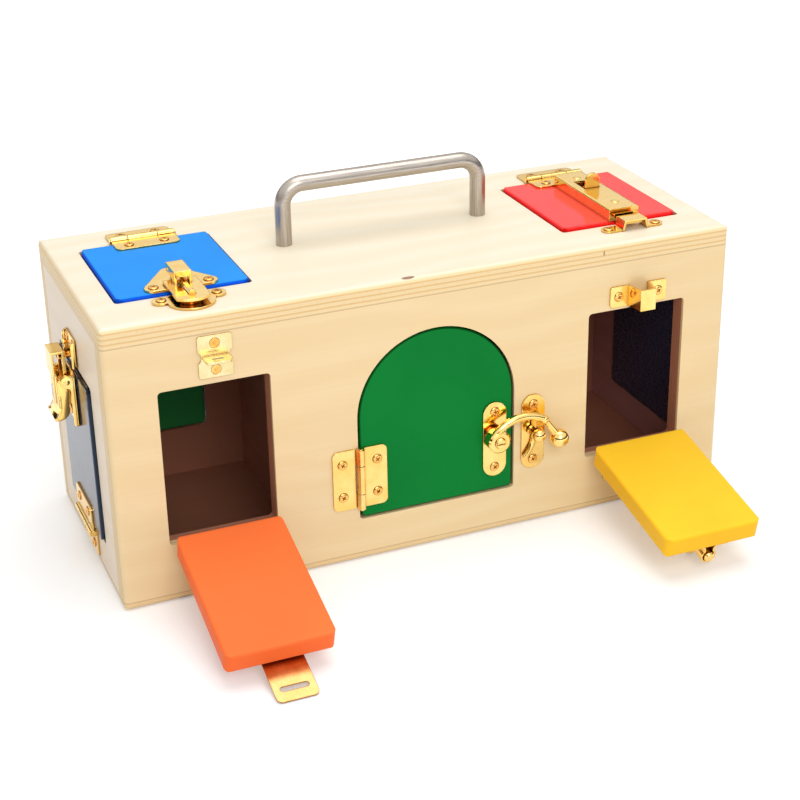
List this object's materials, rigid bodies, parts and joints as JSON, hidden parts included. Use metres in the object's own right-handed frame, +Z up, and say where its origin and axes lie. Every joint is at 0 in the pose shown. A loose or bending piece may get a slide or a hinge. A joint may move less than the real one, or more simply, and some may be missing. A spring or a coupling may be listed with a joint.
{
  "type": "wooden lock box toy",
  "caption": "Birch plywood box with a carrying handle and small painted hinged doors and lids, each closed by a different brass latch for a child to practise.",
  "frame": {"origin": "middle of the box's flat underside, on the ground", "axes": "+X to the right as seen from the front, +Y to the back, +Z up"},
  "size_m": [0.4398, 0.3069, 0.2225],
  "materials": {
    "birch": "clear satin lacquer",
    "steel": "brushed",
    "brass": "polished",
    "orange_paint": "satin paint",
    "yellow_paint": "satin paint",
    "green_paint": "satin paint",
    "blue_paint": "gloss paint",
    "red_paint": "gloss paint",
    "navy_paint": "satin paint"
  },
  "bodies": {
    "box": {"front_panel": "birch", "back_panel": "birch", "left_panel": "birch", "right_panel": "birch", "top_panel": "birch", "bottom_panel": "birch", "partitions": "birch", "handle": "steel", "handle_screws": "steel", "hinge_fixed_leaves": "brass", "hinge_pins": "brass", "box_screws": "brass", "staple_plate": "brass", "bolt_keepers": "brass", "hook_post": "brass", "clasp_catch": "brass", "slide_keeper": "brass", "draw_keeper": "brass"},
    "orange_door": {"orange_door": "orange_paint", "orange_leaf": "brass", "hasp_plate": "brass", "orange_screws": "brass"},
    "hasp_strap": {"hasp_strap": "brass"},
    "yellow_door": {"yellow_door": "yellow_paint", "yellow_leaf": "brass", "yellow_bolt_case": "brass", "yellow_screws": "brass"},
    "yellow_bolt": {"yellow_bolt": "brass"},
    "green_door": {"green_door": "green_paint", "green_leaf": "brass", "hook_plate": "brass", "green_screws": "brass"},
    "hook_arm": {"hook_arm": "brass"},
    "blue_lid": {"blue_lid": "blue_paint", "blue_leaf": "brass", "clasp_plate": "brass", "blue_screws": "brass"},
    "clasp_flap": {"clasp_flap": "brass"},
    "red_lid": {"red_lid": "red_paint", "red_leaf": "brass", "slide_case": "brass", "red_screws": "brass"},
    "slide_bolt": {"slide_bolt": "brass"},
    "left_door": {"left_door": "navy_paint", "left_leaf": "brass", "draw_base": "brass", "left_screws": "brass"},
    "draw_lever": {"draw_lever": "brass"},
    "draw_claw": {"draw_claw": "brass"},
    "right_door": {"right_door": "navy_paint", "right_leaf": "brass", "right_bolt_case": "brass", "right_screws": "brass"},
    "right_bolt": {"right_bolt": "brass"},
    "back_door": {"back_door": "green_paint", "back_leaf": "brass", "back_bolt_case": "brass", "back_screws": "brass"},
    "back_bolt": {"back_bolt": "brass"}
  },
  "joints": [
    {"name": "orange_hinge", "type": "hinge", "parent": "box", "child": "orange_door", "pos_m": [-0.1365, -0.0828, 0.0356], "axis": [1, 0, 0], "range_deg": [-106.3, 0]},
    {"name": "hasp_hinge", "type": "hinge", "parent": "orange_door", "child": "hasp_strap", "pos_m": [-0.135, -0.16211, 0.01324], "axis": [1, 0, 0], "range_deg": [0, 120]},
    {"name": "yellow_hinge", "type": "hinge", "parent": "box", "child": "yellow_door", "pos_m": [0.1365, -0.0828, 0.0356], "axis": [1, 0, 0], "range_deg": [-101.6, 0]},
    {"name": "yellow_bolt_slide", "type": "slide", "parent": "yellow_door", "child": "yellow_bolt", "axis": [0, -0.9796, -0.2011], "range_m": [0, 0.014]},
    {"name": "green_hinge", "type": "hinge", "parent": "box", "child": "green_door", "pos_m": [-0.05025, -0.0828, 0.0573], "axis": [0, 0, -1], "range_deg": [0, 100]},
    {"name": "hook_pivot", "type": "hinge", "parent": "green_door", "child": "hook_arm", "pos_m": [0.03815, -0.089, 0.0673], "axis": [0, -1, 0], "range_deg": [0, 100]},
    {"name": "blue_hinge", "type": "hinge", "parent": "box", "child": "blue_lid", "pos_m": [-0.1408, 0.0489, 0.1828], "axis": [-1, 0, 0], "range_deg": [0, 150]},
    {"name": "clasp_hinge", "type": "hinge", "parent": "blue_lid", "child": "clasp_flap", "pos_m": [-0.1408, -0.029, 0.1896], "axis": [-1, 0, 0], "range_deg": [0, 90]},
    {"name": "red_hinge", "type": "hinge", "parent": "box", "child": "red_lid", "pos_m": [0.1412, 0.0459, 0.1828], "axis": [-1, 0, 0], "range_deg": [0, 150]},
    {"name": "slide_bolt_slide", "type": "slide", "parent": "red_lid", "child": "slide_bolt", "axis": [0, 1, 0], "range_m": [0, 0.014]},
    {"name": "left_hinge", "type": "hinge", "parent": "box", "child": "left_door", "pos_m": [-0.2028, -0.0015, 0.0236], "axis": [0, -1, 0], "range_deg": [0, 90]},
    {"name": "lever_pivot", "type": "hinge", "parent": "left_door", "child": "draw_lever", "pos_m": [-0.2077, -0.0015, 0.1225], "axis": [0, 1, 0], "range_deg": [0, 100]},
    {"name": "claw_pivot", "type": "hinge", "parent": "draw_lever", "child": "draw_claw", "pos_m": [-0.2074, -0.0015, 0.1175], "axis": [0, 1, 0], "range_deg": [-80, 0]},
    {"name": "right_hinge", "type": "hinge", "parent": "box", "child": "right_door", "pos_m": [0.2028, -0.0015, 0.0236], "axis": [0, 1, 0], "range_deg": [0, 92]},
    {"name": "right_bolt_slide", "type": "slide", "parent": "right_door", "child": "right_bolt", "axis": [0, 0, 1], "range_m": [-0.014, 0]},
    {"name": "back_hinge", "type": "hinge", "parent": "box", "child": "back_door", "pos_m": [-0.1365, 0.0828, 0.0356], "axis": [-1, 0, 0], "range_deg": [0, 100]},
    {"name": "back_bolt_slide", "type": "slide", "parent": "back_door", "child": "back_bolt", "axis": [0, 0, 1], "range_m": [-0.014, 0]}
  ],
  "couplings": [
    {"joint": "claw_pivot", "follows": "lever_pivot", "ratio": -0.8}
  ]
}
